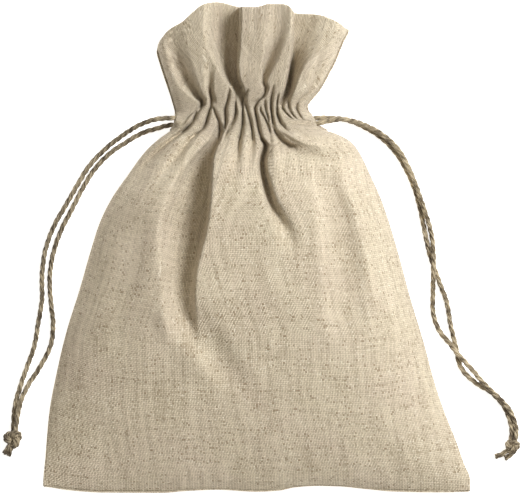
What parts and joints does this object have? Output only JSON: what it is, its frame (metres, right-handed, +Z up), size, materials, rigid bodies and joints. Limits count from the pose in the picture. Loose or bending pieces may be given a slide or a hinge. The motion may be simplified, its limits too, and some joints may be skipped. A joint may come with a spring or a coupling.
{
  "type": "drawstring gift pouch",
  "caption": "Linen drawstring pouch lying on its back, gathered shut at the neck, with a ruffled header and a twisted hemp cord at each side.",
  "frame": {"origin": "centre of the sewn pouch's outline on the surface it lies on, without the cords", "axes": "+Y from the bottom seam to the mouth, +Z up out of the front panel, +X towards the right-hand cord seen from above"},
  "size_m": [0.1866, 0.1768, 0.0298],
  "materials": {
    "linen": "plain weave, matte, unbleached flax with darker slubs",
    "linen_inside": "plain weave, matte, shaded inside face",
    "thread": "matte cotton sewing thread",
    "hemp": "twisted hemp, matte with stray fibres"
  },
  "bodies": {
    "pouch": {"back_panel": "linen", "front_panel": "linen", "left_side_seam": "linen_inside", "right_side_seam": "linen_inside", "bottom_seam": "linen_inside", "left_seam_stitches": "thread", "right_seam_stitches": "thread", "bottom_seam_stitches": "thread", "back_channel": "linen", "front_channel": "linen", "front_channel_upper_stitches": "thread", "front_channel_lower_stitches": "thread", "back_channel_upper_stitches": "thread", "back_channel_lower_stitches": "thread", "left_cord_loop": "hemp", "right_cord_loop": "hemp"},
    "header": {"back_header": "linen", "front_header": "linen", "back_facing": "linen_inside", "front_facing": "linen_inside", "left_header_seam": "linen_inside", "right_header_seam": "linen_inside"},
    "left_draw": {"left_cord_front_lead": "hemp", "left_cord_back_lead": "hemp"},
    "left_end": {"left_cord_front_strand": "hemp", "left_cord_back_strand": "hemp", "left_knot": "hemp", "left_cord_tails": "hemp"},
    "right_draw": {"right_cord_front_lead": "hemp", "right_cord_back_lead": "hemp"},
    "right_end": {"right_cord_front_strand": "hemp", "right_cord_back_strand": "hemp", "right_knot": "hemp", "right_cord_tails": "hemp"}
  },
  "joints": [
    {"name": "header_tilt", "type": "hinge", "parent": "pouch", "child": "header", "pos_m": [-0.00575, 0.0498, 0.0141], "axis": [1, 0, 0], "range_deg": [0, 30]},
    {"name": "left_cord_draw", "type": "slide", "parent": "pouch", "child": "left_draw", "axis": [-1, 0, 0], "range_m": [0, 0.012]},
    {"name": "left_cord_swing", "type": "hinge", "parent": "left_draw", "child": "left_end", "pos_m": [-0.0304, 0.0448, 0.007], "axis": [0, 0, -1], "range_deg": [-2, 25]},
    {"name": "right_cord_draw", "type": "slide", "parent": "pouch", "child": "right_draw", "axis": [1, 0, 0], "range_m": [0, 0.012]},
    {"name": "right_cord_swing", "type": "hinge", "parent": "right_draw", "child": "right_end", "pos_m": [0.0188, 0.0448, 0.007], "axis": [0, 0, 1], "range_deg": [-2, 25]}
  ]
}
